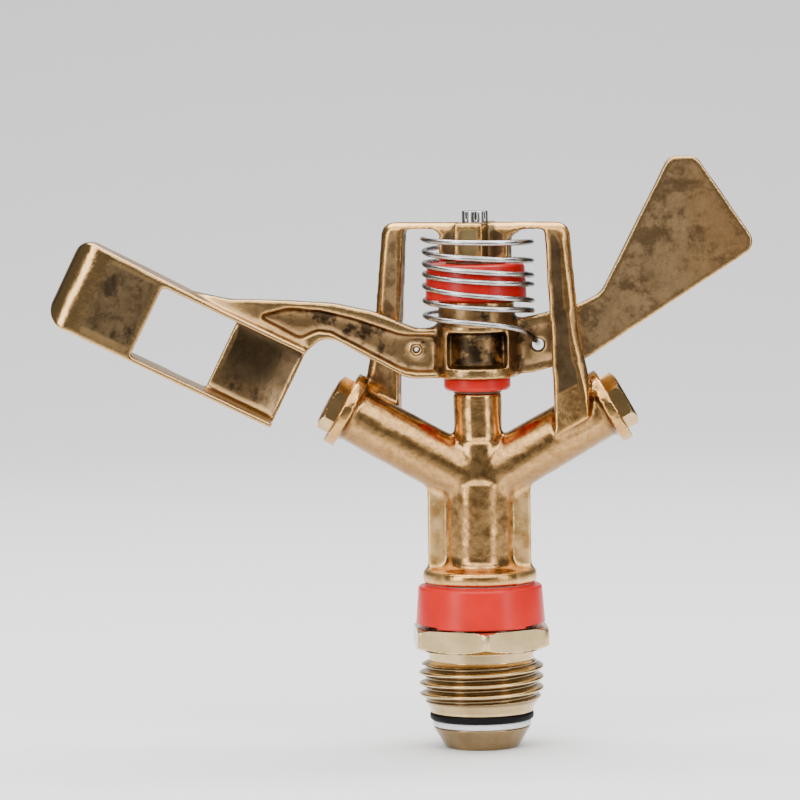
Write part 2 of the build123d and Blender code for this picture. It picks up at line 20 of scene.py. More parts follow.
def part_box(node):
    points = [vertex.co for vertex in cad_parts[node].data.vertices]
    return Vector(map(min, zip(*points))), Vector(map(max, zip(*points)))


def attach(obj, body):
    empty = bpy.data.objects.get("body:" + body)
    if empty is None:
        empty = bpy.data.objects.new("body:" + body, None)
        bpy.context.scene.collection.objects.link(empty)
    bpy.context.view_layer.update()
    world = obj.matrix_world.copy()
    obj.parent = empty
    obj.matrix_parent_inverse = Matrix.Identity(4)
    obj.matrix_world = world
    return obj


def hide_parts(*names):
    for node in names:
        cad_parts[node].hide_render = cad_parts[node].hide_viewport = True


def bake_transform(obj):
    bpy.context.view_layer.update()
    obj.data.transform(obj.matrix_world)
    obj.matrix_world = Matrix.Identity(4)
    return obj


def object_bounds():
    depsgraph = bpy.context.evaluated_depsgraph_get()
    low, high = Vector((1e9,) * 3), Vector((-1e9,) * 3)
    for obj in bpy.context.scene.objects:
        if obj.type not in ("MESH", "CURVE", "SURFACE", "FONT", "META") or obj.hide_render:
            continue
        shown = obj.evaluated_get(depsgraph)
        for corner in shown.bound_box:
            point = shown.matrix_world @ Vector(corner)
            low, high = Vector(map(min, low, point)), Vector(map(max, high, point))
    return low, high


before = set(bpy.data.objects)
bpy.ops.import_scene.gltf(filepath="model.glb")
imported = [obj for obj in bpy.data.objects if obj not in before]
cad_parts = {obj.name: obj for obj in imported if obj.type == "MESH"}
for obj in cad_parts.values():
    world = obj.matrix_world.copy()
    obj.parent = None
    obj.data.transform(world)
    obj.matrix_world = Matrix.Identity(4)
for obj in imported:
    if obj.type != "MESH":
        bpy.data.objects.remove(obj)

cad_low, cad_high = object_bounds()
MM = 0.001
print("frame box, mm:", [round(v / MM, 1) for v in (*cad_low, *cad_high)])

# %% [markdown]
# ## Camera
#
# The object is small, so a long lens far away keeps it from looking like a toy.

# %% Camera
VIEW_CENTRE = Vector((-13.0, 0.0, 50.9)) * MM
VIEW_DISTANCE = 0.85
VIEW_ELEVATION = math.radians(4.6)
VIEW_ROLL = math.radians(0.9)
LENS = 228.0

camera_data = bpy.data.cameras.new("camera")
camera_data.lens = LENS
camera = bpy.data.objects.new("camera", camera_data)
bpy.context.scene.collection.objects.link(camera)
back = Vector((0.0, -math.cos(VIEW_ELEVATION), math.sin(VIEW_ELEVATION)))
camera.matrix_world = (
    Matrix.Translation(VIEW_CENTRE + back * VIEW_DISTANCE)
    @ back.to_track_quat("Z", "Y").to_matrix().to_4x4()
    @ Matrix.Rotation(-VIEW_ROLL, 4, "Z")
)
bpy.context.scene.camera = camera


# %% [markdown]
# ## Shader maths as Python
#
# A finish is arithmetic on noise: this mask times that one, one minus another. Wiring it by hand
# buries the idea under node calls, so a small class wraps a socket and lets Python's own
# operators add the Math nodes. Every other node comes from one method, `node`.


# %% A socket that does sums
class Socket:
    """One output of a shader tree. Sums on it add Math nodes."""

    def __init__(self, tree, link):
        self.tree = tree
        self.link = link

    def node(self, kind, settings=None, values=None, out=0):
        """Adds a node, sets it, then gives its sockets values or links."""
        new = self.tree.nodes.new(kind)
        for name, value in (settings or {}).items():
            setattr(new, name, value)
        for key, value in (values or {}).items():
            if isinstance(value, Socket):
                self.tree.links.new(value.link, new.inputs[key])
            else:
                new.inputs[key].default_value = value
        return Socket(self.tree, new.outputs[out])

    def maths(self, operation, *terms, clamp=False):
        settings = {"operation": operation, "use_clamp": clamp}
        return self.node("ShaderNodeMath", settings, dict(enumerate(terms)))

    def __add__(self, other):
        return self.maths("ADD", self, other)

    __radd__ = __add__

    def __sub__(self, other):
        return self.maths("SUBTRACT", self, other)

    def __rsub__(self, other):
        return self.maths("SUBTRACT", other, self)

    def __mul__(self, other):
        return self.maths("MULTIPLY", self, other)

    __rmul__ = __mul__

    def __truediv__(self, other):
        return self.maths("DIVIDE", self, other)

    def lowest(self, other):
        return self.maths("MINIMUM", self, other)

    def apply(self, operation):
        """A Math node with one term, such as SINE or ABSOLUTE."""
        return self.maths(operation, self)

    def clamp(self):
        return self.maths("ADD", self, 0.0, clamp=True)

    def between(self, low, high):
        """0 below low, 1 above high, and smooth between them."""
        values = {"Value": self, "From Min": low, "From Max": high}
        return self.node("ShaderNodeMapRange", {"interpolation_type": "SMOOTHSTEP"}, values)

    def past(self, band_mm):
        """Like between, for a length in metres and a band in millimetres."""
        return self.between(band_mm[0] * MM, band_mm[1] * MM)


def srgb(red, green, blue):
    """A screen colour of 0 to 255 as the linear colour that shaders use."""
    def linear(v):
        v /= 255
        return v / 12.92 if v <= 0.04045 else ((v + 0.055) / 1.055) ** 2.4

    return (linear(red), linear(green), linear(blue))


class Finish(Socket):
    """A new material. Its own socket is Object coordinates, in metres."""

    def __init__(self, name):
        self.material = bpy.data.materials.new(name)
        self.material.use_nodes = True
        tree = self.material.node_tree
        self.shader = tree.nodes["Principled BSDF"]
        super().__init__(tree, tree.nodes.new("ShaderNodeTexCoord").outputs["Object"])

    def noise(self, size_mm, detail=4.0, rough=0.55, stretch=(1, 1, 1)):
        """Noise with features of about size_mm, drawn out along an axis by a stretch over 1."""
        scale = tuple(1 / s for s in stretch)
        place = self.node("ShaderNodeMapping", None, {"Vector": self, "Scale": scale})
        values = {"Vector": place, "Scale": 1 / (size_mm * MM), "Detail": detail, "Roughness": rough}
        return self.node("ShaderNodeTexNoise", {"noise_dimensions": "3D"}, values)

    def across(self):
        return self.node("ShaderNodeSeparateXYZ", None, {0: self}, out=0)

    def depth(self):
        return self.node("ShaderNodeSeparateXYZ", None, {0: self}, out=1)

    def height(self):
        return self.node("ShaderNodeSeparateXYZ", None, {0: self}, out=2)

    def attribute(self, name):
        return self.node("ShaderNodeAttribute", {"attribute_name": name}, out="Fac")

    def mix(self, factor, low, high):
        """A colour between low and high."""
        values = {0: factor, 6: low if isinstance(low, Socket) else (*low, 1)}
        values[7] = high if isinstance(high, Socket) else (*high, 1)
        return self.node("ShaderNodeMix", {"data_type": "RGBA"}, values, out=2)

    def bump(self, height, depth_mm, below=None):
        """A normal from a height of 0 to 1 that stands for depth_mm."""
        values = {"Height": height, "Distance": depth_mm * MM, "Strength": 1.0}
        if below is not None:
            values["Normal"] = below
        return self.node("ShaderNodeBump", None, values)

    def finish(self, **sockets):
        """Feeds the shader: named sockets with spaces as underscores."""
        for name, value in sockets.items():
            socket = self.shader.inputs[name.replace("_", " ")]
            if isinstance(value, Socket):
                self.tree.links.new(value.link, socket)
            elif isinstance(value, tuple):
                socket.default_value = (*value, 1)
            else:
                socket.default_value = value
        return self.material


# %% [markdown]
# ## Floor and light
#
# Brass shows nothing but what it reflects, so the stage is built for the reflections. Two tall
# boxes left and right draw the upright streaks on the turned parts, one large box above the camera
# lights the upper half of each barrel, and two overhead light the floor and the top of the
# object. The floor is pale only round the object and is painted grey further out as shade, so
# that the metal between the streaks stays dark.

# %% Floor and lights
def floor_material():
    """Matt paper, pale where the camera sees it, with painted shade that makes it grey out where
    only the brass sees it.
    """
    f = Finish("floor_paper")
    near = f.depth().between(-150 * MM, -50 * MM)
    beside = f.across().apply("ABSOLUTE") - f.depth() * 0.2
    # painted shade: the paper is painted grey away from the object
    painted_light_pool = near * (1 - beside.between(90 * MM, 320 * MM))
    return f.finish(Base_Color=f.mix(painted_light_pool, (0.20, 0.20, 0.20), (0.88, 0.88, 0.875)), Roughness=0.8)


def sweep_floor(low_z, front, back, width, rise):
    """A floor from y = front to y = back that then curves up into a backdrop."""
    steps = 24
    radius = rise * 0.5
    line = [(front, low_z)]
    for i in range(steps + 1):
        turn = math.pi / 2 * i / steps
        line.append((back + radius * math.sin(turn), low_z + radius * (1 - math.cos(turn))))
    line.append((back + radius, low_z + rise))
    mesh = bpy.data.meshes.new("floor")
    points = [(x, y, z) for y, z in line for x in (-width / 2, width / 2)]
    quads = [(2 * i, 2 * i + 1, 2 * i + 3, 2 * i + 2) for i in range(len(line) - 1)]
    mesh.from_pydata(points, [], quads)
    mesh.shade_smooth()
    floor = bpy.data.objects.new("floor", mesh)
    mesh.materials.append(floor_material())
    bpy.context.scene.collection.objects.link(floor)
    return floor


def soft_box(name, place, size, brightness, aim_z=50.0):
    """A rectangular light of a given brightness at place, turned to a height on the axis."""
    data = bpy.data.lights.new(name, "AREA")
    data.shape = "RECTANGLE"
    data.size, data.size_y = size
    data.energy = brightness * size[0] * size[1] * math.pi
    light = bpy.data.objects.new(name, data)
    light.location = place
    aim = Vector(place) - Vector((0.0, 0.0, aim_z)) * MM
    light.rotation_euler = aim.to_track_quat("Z", "Y").to_euler()
    bpy.context.scene.collection.objects.link(light)
    return light


sweep_floor(cad_low.z, -0.40, 0.55, 3.2, 1.2)
soft_box("tall_left", (-0.45, -0.41, 0.25), (0.20, 0.62), 6.0)
soft_box("tall_right", (0.46, -0.40, 0.25), (0.17, 0.62), 5.0)
soft_box("front_top", (0.0, -0.52, 0.59), (1.00, 0.62), 3.0)
soft_box("top", (0.0, 0.10, 0.80), (1.00, 0.70), 3.4)
soft_box("backdrop", (0.0, 0.15, 0.75), (1.20, 0.40), 6.0, -400.0)

world = bpy.data.worlds.new("studio")
bpy.context.scene.world = world
world.use_nodes = True
world.node_tree.nodes["Background"].inputs["Color"].default_value = (0.95, 0.98, 1.0, 1)
world.node_tree.nodes["Background"].inputs["Strength"].default_value = 0.17
print("stage: floor, five soft boxes and a camera")

# %% [markdown]
# ## Brass
#
# One alloy, several histories, and some painted light. The body casting was polished on a wheel:
# golden, glossy, its surface gently wavy, with brown patina left in the hollows and painted shade
# over it there and on faces that look down. The wheel didn't reach the bridge, which stayed dull,
# its right post most of all, and painted shade darkens the column beside its middle. The arm was
# only tumbled, so a brown, blotched patina covers its faces and the metal shines through on the
# edges, with painted highlights on the spoon's curl and rails. Its paddle is lighter and finely
# mottled, and painted shade darkens the upper part of its spoon's inner vane. The turned pieces are
# clean, with fine tool rings, and differ only in tone. Castings carry two attributes that the
# remeshing step measures: the edge attribute, above 0.5 on outer edges and below it in hollows,
# pushed lower where a hollow faces down, for painted shade, and above 0.5 where it faces up, for a
# painted highlight, and `under`, which is how far a face looks down.


# %% Brass finishes
BARREL_ANGLE = math.radians(29.5)
BARREL_Z = 36.9
BARREL_SLOPE = 0.566
FIN_X = (5.6, 6.4)
FIN_TOP_Z = (35.0, 37.0)
BRIDGE_Z = (52.0, 58.0)
POST_OVER_BARREL = (6.8, 7.8)
POST_X = (10.5, 11.5)
RIGHT_POST_X = (9.0, 12.0)
COLUMN_Z = (66.0, 68.0)
COLUMN_X = (5.5, 6.5)
COLUMN_CENTRE_X = (1.6, 3.2)
PADDLE_X = (13.0, 16.0)
PADDLE_RUST_X = (30.0, 44.0)
SPOON_CORNER = (-34.7, 46.85)
SPOON_TILT = math.radians(26.4)
SPOON_TOP = (14.5, 15.5)
SPOON_SHADE_END = (12.0, 13.0)
SPOON_SHADE_UP = (2.5, 8.5)
SPOON_CURL = (35.0, 37.0)
RAIL_LOW = (1.7, 2.4)
RAIL_HIGH = (13.2, 13.8)
FLANGE_FRONT = (-2.9, -2.6)
FLANGE_BACK = (-2.1, -1.5)
FLANGE_END_X = (-8.0, -6.5)
POCKET_X = (4.4, 5.0)
POCKET_FLOOR_Z = (56.0, 57.0)
POCKET_TOP_Z = (61.8, 62.6)


def polished_brass():
    f = Finish("polished_cast_brass")
    edge_wear_and_painted_light = f.attribute("edge_wear_and_painted_light")
    waves = f.noise(5.0, 2.0, 0.4)
    grain = f.noise(0.9, 4.0, 0.6)
    blotch = f.noise(7.0, 5.0, 0.6)
    mottle = f.noise(2.4, 5.0, 0.65)
    # brown patina in the hollows, with painted shade where a hollow faces down
    hollow_patina_and_shade = (1 - edge_wear_and_painted_light.between(0.26, 0.47)) * blotch.between(0.25, 0.55)
    tarnish_and_shade = (hollow_patina_and_shade * 0.5 + (blotch * mottle * 4).between(1.0, 1.5) * 0.34).clamp()
    clean = (grain * 0.5 + mottle * 0.5).between(0.35, 0.60)
    base = f.mix(clean, (0.38, 0.190, 0.062), (0.68, 0.390, 0.145))
    # painted shade: faces that look down are darkened
    base = f.mix(f.attribute("under").between(0.10, 0.70) * 0.8, base, (0.24, 0.135, 0.056))
    # polished edges are bright, and hollows that face up get the same bright colour as a painted
    # highlight
    base = f.mix(edge_wear_and_painted_light.between(0.62, 0.90) * 0.7, base, (0.72, 0.40, 0.13))
    base = f.mix(tarnish_and_shade, base, (0.12, 0.062, 0.026))
    fins = f.across().apply("ABSOLUTE").past(FIN_X)
    fins = fins * (1 - f.height().past(FIN_TOP_Z))
    gold = f.mix(mottle.between(0.35, 0.6), (0.60, 0.31, 0.095), (0.95, 0.62, 0.26))
    base = f.mix(fins * 0.8, base, gold)
    # the bridge stands on the barrels, so its foot is found by the height over their axes
    beside = f.across().apply("ABSOLUTE")
    over_barrel = f.height() - beside * BARREL_SLOPE - BARREL_Z * MM
    posts = over_barrel.past(POST_OVER_BARREL) * beside.past(POST_X)
    bridge = (posts + f.height().past(BRIDGE_Z)).clamp()
    unpolished = bridge * (1 - edge_wear_and_painted_light.between(0.60, 0.74) * 0.8)
    dull = f.mix(mottle.between(0.40, 0.60), (0.26, 0.165, 0.080), (0.090, 0.056, 0.030))
    soot = f.mix(mottle.between(0.35, 0.65), (0.020, 0.014, 0.010), (0.052, 0.036, 0.023))
    dull = f.mix(f.across().past(RIGHT_POST_X) * 0.95, dull, soot)
    # painted shade: the column is darker away from its middle, as the shade in the recesses beside
    # its rib
    column = f.height().past(COLUMN_Z) * (1 - beside.past(COLUMN_X))
    olive = f.mix(beside.past(COLUMN_CENTRE_X), (0.17, 0.135, 0.060), (0.045, 0.032, 0.019))
    dull = f.mix(column * 0.9, dull, olive)
    base = f.mix(unpolished * 0.92, base, dull)
    rough = 0.15 + grain * 0.12 + tarnish_and_shade * 0.20 + unpolished * 0.22 + fins * 0.15
    normal = f.bump(waves, 0.22)
    normal = f.bump(grain, 0.028, normal)
    return f.finish(Base_Color=base, Metallic=1.0, Roughness=rough, Normal=normal)


def aged_brass():
    f = Finish("aged_cast_brass")
    edge_wear_and_painted_light = f.attribute("edge_wear_and_painted_light")
    waves = f.noise(4.0, 2.0, 0.5)
    grain = f.noise(0.7, 5.0, 0.65)
    blotch = f.noise(6.5, 6.0, 0.62)
    stain = f.noise(2.6, 5.0, 0.7)
    base = f.mix(blotch.between(0.35, 0.65), (0.24, 0.142, 0.060), (0.46, 0.275, 0.120))
    paddle = f.across().past(PADDLE_X)
    fine = (stain * 0.6 + grain * 0.4).between(0.36, 0.64)
    warm = f.mix(fine, (0.60, 0.39, 0.190), (0.33, 0.200, 0.092))
    warm = f.mix(f.across().past(PADDLE_RUST_X) * 0.5, warm, (0.52, 0.25, 0.080))
    base = f.mix(paddle * 0.85, base, warm)
    stained = (stain * blotch * 4).between(0.88, 1.35) * (1 - paddle * 0.5)
    base = f.mix(stained, base, (0.055, 0.034, 0.019))
    # distance along the spoon from its inner end, and up from its lower edge
    from_corner = f.across() - SPOON_CORNER[0] * MM
    above_corner = f.height() - SPOON_CORNER[1] * MM
    cos, sin = math.cos(SPOON_TILT), math.sin(SPOON_TILT)
    along = above_corner * sin - from_corner * cos
    up = from_corner * sin + above_corner * cos
    spoon = along.between(0.0, 1.0 * MM) * (1 - up.past(SPOON_TOP))
    drab = f.mix(stain.between(0.4, 0.62), (0.225, 0.165, 0.092), (0.115, 0.080, 0.043))
    base = f.mix(spoon * 0.55, base, drab)
    # painted shade: the upper part of the inner vane is darkened, as the vane sits in its own shade
    shade = spoon * (1 - along.past(SPOON_SHADE_END)) * up.past(SPOON_SHADE_UP)
    base = f.mix(shade * (1 - edge_wear_and_painted_light.between(0.60, 0.70)) * 0.85, base, (0.058, 0.036, 0.018))
    # brown patina deep in the hollows, darker as painted shade where a hollow faces down
    base = f.mix((1 - edge_wear_and_painted_light.between(0.10, 0.36)) * 0.6, base, (0.045, 0.027, 0.015))
    # the flanges of the arm and the rails of the spoon stand proud and are rubbed bright, and the
    # rails also get a painted highlight, as the reflection of the light above
    flange = (1 - f.depth().past(FLANGE_BACK)) * (1 - f.across().past(FLANGE_END_X))
    flange = flange * f.depth().past(FLANGE_FRONT)
    rail = spoon * ((1 - up.past(RAIL_LOW)) + up.past(RAIL_HIGH)).clamp()
    rubbed_and_painted_highlight = (flange + rail).clamp() * stain.between(0.25, 0.50)
    base = f.mix(rubbed_and_painted_highlight * 0.7, base, (0.60, 0.37, 0.155))
    # the hub's pocket kept its casting skin
    skin = (1 - f.across().apply("ABSOLUTE").past(POCKET_X)) * (1 - edge_wear_and_painted_light.between(0.58, 0.70))
    skin = skin * f.height().past(POCKET_FLOOR_Z) * (1 - f.height().past(POCKET_TOP_Z))
    base = f.mix(skin * stain.between(0.36, 0.54) * 0.9, base, (0.030, 0.021, 0.013))
    # painted highlight: the spoon's convex curl is painted bright, as the reflection along its bend,
    # on top of the bright rubbed edges
    curl_highlight = along.past(SPOON_CURL) * spoon
    wear_and_painted_highlight = (edge_wear_and_painted_light.between(0.60, 0.86) * grain.between(0.20, 0.55) * 0.7 + curl_highlight * 0.9).clamp()
    base = f.mix(wear_and_painted_highlight, base, (0.66, 0.40, 0.16))
    rough = 0.36 - wear_and_painted_highlight * 0.20 + (grain - 0.5) * 0.22
    normal = f.bump(waves, 0.16)
    normal = f.bump(grain, 0.05, normal)
    return f.finish(Base_Color=base, Metallic=1.0, Roughness=rough, Normal=normal)


def turned_brass(name, light, dark, stretch=(60, 60, 1), groove=None):
    """Clean brass off the lathe. A thread's grooves are darker: (low, high, root, crest)."""
    f = Finish(name)
    rings = f.noise(0.16, 2.0, 0.6, stretch=stretch)
    tint = f.noise(4.0, 4.0, 0.6)
    base = f.mix(tint.between(0.3, 0.7), dark, light)
    if groove:
        low, high, root, crest = groove
        flat = f.node("ShaderNodeMapping", None, {"Vector": f, "Scale": (1, 1, 0)})
        radius = flat.node("ShaderNodeVectorMath", {"operation": "LENGTH"}, {0: flat}, out=1)
        deep = 1 - radius.between(root * MM, crest * MM)
        thread = f.height().past((low, low + 0.4)) * (1 - f.height().past((high - 0.3, high)))
        base = f.mix(deep * thread * 0.85, base, (0.13, 0.085, 0.044))
    rough = 0.13 + rings * 0.12
    normal = f.bump(rings, 0.003)
    return f.finish(Base_Color=base, Metallic=1.0, Roughness=rough, Normal=normal)


POLISHED = polished_brass()
AGED = aged_brass()
TURNED = turned_brass("turned_brass", (0.72, 0.49, 0.23), (0.58, 0.38, 0.17))
NIPPLE_GROOVE = (-0.2, 6.9, 9.4, 10.3)
NIPPLE_BRASS = turned_brass(
    "nipple_brass", (0.68, 0.50, 0.26), (0.52, 0.37, 0.18), groove=NIPPLE_GROOVE,
)
TUBE_BRASS = turned_brass("tube_brass", (0.34, 0.235, 0.12), (0.24, 0.16, 0.078))
NOZZLE_BRASS = turned_brass("nozzle_brass", (0.66, 0.42, 0.18), (0.50, 0.31, 0.12), (1, 1, 1))
print("brass finishes:", POLISHED.name, AGED.name, TURNED.name)

# %% [markdown]
# ## Plastic, rubber and steel
#
# The red cover and bushes are moulded with a faint orange-peel skin. The white washers are waxy,
# the two on the pin are painted dark brown as the shade between the parts they sit in, and the
# seal is matt rubber. The pin is ground and the springs are drawn through a die, so their fine
# marks run along them.


# %% Other finishes
COIL_SIDE_X = (7.0, 9.0)


def red_plastic(name, light, dark):
    f = Finish(name)
    skin = f.noise(0.35, 3.0, 0.5)
    flow = f.noise(5.0, 3.0, 0.5)
    base = f.mix(flow.between(0.3, 0.7), dark, light)
    rough = 0.26 + skin * 0.12
    normal = f.bump(skin, 0.012)
    return f.finish(Base_Color=base, Roughness=rough, Normal=normal, Specular_IOR_Level=0.30)


def washer_plastic(name, light, dark):
    f = Finish(name)
    skin = f.noise(0.5, 3.0, 0.5)
    base = f.mix(skin, dark, light)
    return f.finish(Base_Color=base, Roughness=0.42 + skin * 0.1, Normal=f.bump(skin, 0.01))


def black_rubber():
    f = Finish("rubber_black")
    skin = f.noise(0.3, 4.0, 0.6)
    base = f.mix(skin, (0.002, 0.002, 0.002), (0.006, 0.005, 0.005))
    rough = 0.45 + skin * 0.2
    normal = f.bump(skin, 0.02)
    return f.finish(Base_Color=base, Roughness=rough, Normal=normal, Specular_IOR_Level=0.12)


def steel(name, light, dark, stretch, rough_low):
    f = Finish(name)
    marks = f.noise(0.12, 3.0, 0.6, stretch=stretch)
    cloud = f.noise(3.0, 3.0, 0.5)
    base = f.mix((marks * 0.5 + cloud * 0.5).between(0.35, 0.65), dark, light)
    # the coil's two sides turn away from the lights
    sides = f.across().apply("ABSOLUTE").past(COIL_SIDE_X)
    base = f.mix(sides * 0.8, base, (0.06, 0.06, 0.062))
    rough = rough_low + marks * 0.14
    return f.finish(Base_Color=base, Metallic=1.0, Roughness=rough, Normal=f.bump(marks, 0.006))


RED = red_plastic("cover_red", (0.66, 0.011, 0.007), (0.58, 0.008, 0.005))
RED_BUSH = red_plastic("bush_red", (0.60, 0.009, 0.006), (0.50, 0.007, 0.005))
WHITE = washer_plastic("ptfe_white", srgb(236, 236, 238), srgb(214, 214, 216))
# painted shade: these washers are dark brown to stand for the shade between the parts they sit in
BROWN = washer_plastic("ptfe_painted_shade_brown", (0.11, 0.055, 0.022), (0.07, 0.034, 0.014))
RUBBER = black_rubber()
PIN_STEEL = steel("ground_steel", (0.62, 0.61, 0.60), (0.26, 0.255, 0.25), (1, 1, 40), 0.14)
SPRING_STEEL = steel("drawn_steel", (0.66, 0.65, 0.64), (0.36, 0.35, 0.34), (12, 12, 1), 0.20)
print("other finishes:", RED.name, RED_BUSH.name, WHITE.name, RUBBER.name, PIN_STEEL.name)

# %% [markdown]
# ## A lathe
#
# Most of this object was turned. A lathe takes a closed outline of radius and height and sweeps
# it round an axis. Real turned corners are never sharp, so the outline's corners are rounded
# first, and those tiny arcs are what catches the light. One rule can also change the radius round
# the turn, which is how a hexagon or a row of flutes is cut from the same blank.


# %% Lathe
HALF_SIDE = 0.49
LEAST_SPARE = 0.01


def rounded(outline, steps=5):
    """(radius, height, corner radius) points, with each corner turned into an arc."""
    made = []
    count = len(outline)
    for i in range(count):
        here = np.array(outline[i][:2], float)
        before = np.array(outline[i - 1][:2], float) - here
        after = np.array(outline[(i + 1) % count][:2], float) - here
        corner = outline[i][2]
        if corner <= 0:
            made.append(tuple(here))
            continue
        before_unit = before / np.linalg.norm(before)
        after_unit = after / np.linalg.norm(after)
        half = math.acos(np.clip(before_unit @ after_unit, -1, 1)) / 2
        room_before = np.linalg.norm(before) * HALF_SIDE
        room_after = np.linalg.norm(after) * HALF_SIDE
        reach = min(corner / math.tan(half), room_before, room_after)
        radius = reach * math.tan(half)
        middle = before_unit + after_unit
        centre = here + middle / np.linalg.norm(middle) * radius / math.sin(half)
        first = here + before_unit * reach - centre
        last = here + after_unit * reach - centre
        sweep = math.pi - 2 * half
        turn = math.copysign(sweep, first[0] * last[1] - first[1] * last[0])
        # a point on the flat beside each end of the arc keeps the arc's shading off the flat
        spare = min(corner * 0.6, room_before - reach, room_after - reach)
        if spare > LEAST_SPARE:
            made.append(tuple(here + before_unit * (reach + spare)))
        for k in range(steps + 1):
            a = turn * k / steps
            c, s = math.cos(a), math.sin(a)
            made.append((
                centre[0] + c * first[0] - s * first[1],
                centre[1] + s * first[0] + c * first[1],
            ))
        if spare > LEAST_SPARE:
            made.append(tuple(here + after_unit * (reach + spare)))
    return made


def lathe(outline, segments=192, start=0.0, rule=None, place=None, closed=True):
    """A bmesh of an outline turned about Z. rule(angle, radius, height) may change a point."""
    shape = bmesh.new()
    rings = []
    for r, z in outline:
        ring = []
        for k in range(segments):
            angle = start + 2 * math.pi * k / segments
            radius, height = rule(angle, r, z) if rule else (r, z)
            x, y = radius * math.cos(angle), radius * math.sin(angle)
            ring.append(shape.verts.new((x * MM, y * MM, height * MM)))
        rings.append(ring)
    for i, ring in enumerate(rings if closed else rings[:-1]):
        beside = rings[(i + 1) % len(rings)]
        for k in range(segments):
            after = (k + 1) % segments
            shape.faces.new((ring[k], ring[after], beside[after], beside[k]))
    bmesh.ops.remove_doubles(shape, verts=shape.verts, dist=1e-7)
    bmesh.ops.recalc_face_normals(shape, faces=shape.faces)
    if place is not None:
        shape.transform(place)
    return shape


def piece(name, shape, material, body, replaced=(), sharp=35.0):
    """Turns a bmesh into a finished object that rides on a body."""
    mesh = bpy.data.meshes.new(name)
    shape.to_mesh(mesh)
    shape.free()
    return settle(name, mesh, material, body, replaced, sharp)


def settle(name, mesh, material, body, replaced=(), sharp=35.0):
    """Gives a mesh its shading, material and body, as an object at the origin."""
    mesh.shade_smooth()
    mesh.set_sharp_from_angle(angle=math.radians(sharp))
    mesh.materials.clear()
    mesh.materials.append(material)
    made = bpy.data.objects.new(name, mesh)
    bpy.context.scene.collection.objects.link(made)
    if body:
        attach(made, body)
    if replaced:
        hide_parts(*replaced)
    print(f"{name}: {len(mesh.polygons)} faces")
    return made


def size(node):
    """A node's lowest and highest corner in millimetres."""
    low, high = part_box(node)
    return low / MM, high / MM


# %% [markdown]
# ## The inlet nipple and its thread
#
# The nipple is turned from hexagon bar. Its thread follows a rule: the radius at any point depends
# only on how far the height is along the pitch, less the turn. So the threaded wall is one grid,
# rolled into a tube by Geometry Nodes and pushed out by that rule, and the same tree would cut any
# other thread from other inputs. The rest of the nipple is lathed with the same number of
# segments, so the two meshes meet point to point and are merged.


# %% A Geometry Nodes tree with named inputs
def new_tree(name, inputs):
    """An empty tree whose inputs are floats, integers or a material."""
    tree = bpy.data.node_groups.new(name, "GeometryNodeTree")
    tree.interface.new_socket("Geometry", in_out="INPUT", socket_type="NodeSocketGeometry")
    for label, kind in inputs:
        tree.interface.new_socket(label, in_out="INPUT", socket_type=f"NodeSocket{kind}")
    tree.interface.new_socket("Geometry", in_out="OUTPUT", socket_type="NodeSocketGeometry")
    entry = tree.nodes.new("NodeGroupInput")
    leave = tree.nodes.new("NodeGroupOutput")
    given = {s.name: Socket(tree, s) for s in entry.outputs if s.name}
    return given, leave


def end_tree(geometry, leave, material):
    """Every tree ends by realising its instances and setting its material."""
    real = geometry.node("GeometryNodeRealizeInstances", None, {0: geometry})
    done = real.node("GeometryNodeSetMaterial", None, {"Geometry": real, "Material": material})
    done.tree.links.new(done.link, leave.inputs[0])


def run_tree(tree, values, start=None):
    """Applies a tree to a start mesh and returns the plain mesh that it makes."""
    holder = bpy.data.objects.new("holder", start or bpy.data.meshes.new("empty"))
    bpy.context.scene.collection.objects.link(holder)
    modifier = holder.modifiers.new("tree", "NODES")
    modifier.node_group = tree
    for item in tree.interface.items_tree:
        if item.item_type == "SOCKET" and item.in_out == "INPUT" and item.name in values:
            modifier[item.identifier] = values[item.name]
    seen = holder.evaluated_get(bpy.context.evaluated_depsgraph_get())
    mesh = bpy.data.meshes.new_from_object(seen)
    bpy.data.objects.remove(holder)
    return mesh


# %% The thread tree
THREAD_INPUTS = [
    ("Major Radius", "Float"), ("Depth", "Float"), ("Pitch", "Float"), ("Low", "Float"),
    ("High", "Float"), ("Phase", "Float"), ("Start", "Float"), ("End Radius", "Float"),
    ("Low Lead", "Float"), ("High Lead", "Float"), ("Segments", "Int"), ("Rows", "Int"),
    ("Material", "Material"),
]


def thread_tree():
    """A grid rolled into a tube whose radius follows a screw thread."""
    given, leave = new_tree("screw_thread", THREAD_INPUTS)
    pitch, low, high = given["Pitch"], given["Low"], given["High"]
    columns = given["Segments"] + 1
    values = {"Size X": 1.0, "Size Y": 1.0, "Vertices X": columns, "Vertices Y": given["Rows"]}
    grid = pitch.node("GeometryNodeMeshGrid", None, values)
    spot = grid.node("GeometryNodeInputPosition")
    across = spot.node("ShaderNodeSeparateXYZ", None, {0: spot})
    along = spot.node("ShaderNodeSeparateXYZ", None, {0: spot}, out=1)
    turn = across + 0.5 + given["Start"]
    height = low + (along + 0.5) * (high - low)
    off_crest = ((height / pitch - turn + given["Phase"]).apply("FRACT") - 0.5).apply("ABSOLUTE") * 2
    values = {"Value": off_crest, "From Min": 0.92, "From Max": 0.08}
    rise = off_crest.node("ShaderNodeMapRange", {"interpolation_type": "SMOOTHSTEP"}, values)
    radius = given["Major Radius"] - given["Depth"] * (1 - rise)
    radius = radius.lowest(given["End Radius"] + (height - low) * given["Low Lead"])
    radius = radius.lowest(given["End Radius"] + (high - height) * given["High Lead"])
    angle = turn * (2 * math.pi)
    values = {0: radius * angle.apply("COSINE"), 1: radius * angle.apply("SINE"), 2: height}
    point = radius.node("ShaderNodeCombineXYZ", None, values)
    tube = grid.node("GeometryNodeSetPosition", None, {"Geometry": grid, "Position": point})
    end_tree(tube, leave, given["Material"])
    return leave.id_data


